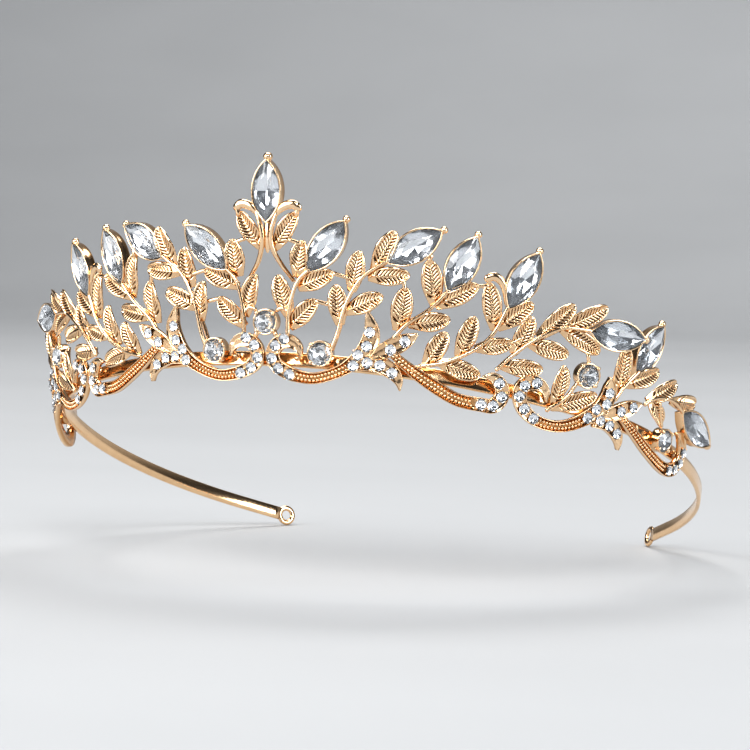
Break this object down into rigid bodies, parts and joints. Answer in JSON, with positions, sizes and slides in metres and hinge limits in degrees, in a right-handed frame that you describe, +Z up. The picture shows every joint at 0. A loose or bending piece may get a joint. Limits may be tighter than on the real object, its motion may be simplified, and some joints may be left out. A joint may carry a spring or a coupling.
{
  "type": "bridal tiara",
  "caption": "Bridal tiara: slim horseshoe headband carrying a leaf-and-scroll openwork crown set with marquise and round clear crystals.",
  "frame": {"origin": "centre of the opening for the head, in the headband's mid plane, where the horseshoe is widest", "axes": "+Z up as worn, +Y towards the back of the head, +X across the head, to the right as seen from in front; the headband's plane is tilted 22 degrees, front up, so the centre front stands upright"},
  "size_m": [0.1504, 0.1195, 0.0891],
  "materials": {
    "band_gold": "polished, rose-gold plated",
    "casting_gold": "bright cast relief, rose-gold plated",
    "crystal": "faceted, foil-backed, clear"
  },
  "bodies": {
    "root": {"branch_1_left": "casting_gold", "branch_1_right": "casting_gold", "branch_2_left": "casting_gold", "branch_2_right": "casting_gold", "branch_3_left": "casting_gold", "branch_3_right": "casting_gold", "branch_4_left": "casting_gold", "branch_4_right": "casting_gold", "branch_5_left": "casting_gold", "branch_5_right": "casting_gold", "branch_6_left": "casting_gold", "branch_6_right": "casting_gold", "branch_7_left": "casting_gold", "branch_7_right": "casting_gold", "branch_8_left": "casting_gold", "branch_8_right": "casting_gold", "centre_cup": "casting_gold", "centre_spray": "casting_gold", "headband": "band_gold", "navette_crystal_branch_1_left": "crystal", "navette_crystal_branch_1_right": "crystal", "navette_crystal_branch_2_left": "crystal", "navette_crystal_branch_2_right": "crystal", "navette_crystal_branch_3_left": "crystal", "navette_crystal_branch_3_right": "crystal", "navette_crystal_branch_4_left": "crystal", "navette_crystal_branch_4_right": "crystal", "navette_crystal_branch_5_left": "crystal", "navette_crystal_branch_5_right": "crystal", "navette_crystal_branch_7_left": "crystal", "navette_crystal_branch_7_right": "crystal", "navette_crystal_branch_8_left": "crystal", "navette_crystal_branch_8_right": "crystal", "navette_crystal_centre": "crystal", "pave_spiral_1_left": "crystal", "pave_spiral_1_right": "crystal", "pave_spiral_2_left": "crystal", "pave_spiral_2_right": "crystal", "pave_spiral_3_left": "crystal", "pave_spiral_3_right": "crystal", "pave_trefoil_1_left": "crystal", "pave_trefoil_1_right": "crystal", "pave_trefoil_3_left": "crystal", "pave_trefoil_3_right": "crystal", "round_crystal_branch_2_left": "crystal", "round_crystal_branch_2_right": "crystal", "round_crystal_branch_6_left": "crystal", "round_crystal_branch_6_right": "crystal", "round_crystal_centre": "crystal", "round_crystal_scroll_4_left": "crystal", "round_crystal_scroll_4_right": "crystal", "scroll_1_left": "casting_gold", "scroll_1_right": "casting_gold", "scroll_2_left": "casting_gold", "scroll_2_right": "casting_gold", "scroll_3_left": "casting_gold", "scroll_3_right": "casting_gold", "scroll_4_left": "casting_gold", "scroll_4_right": "casting_gold"}
  },
  "joints": []
}
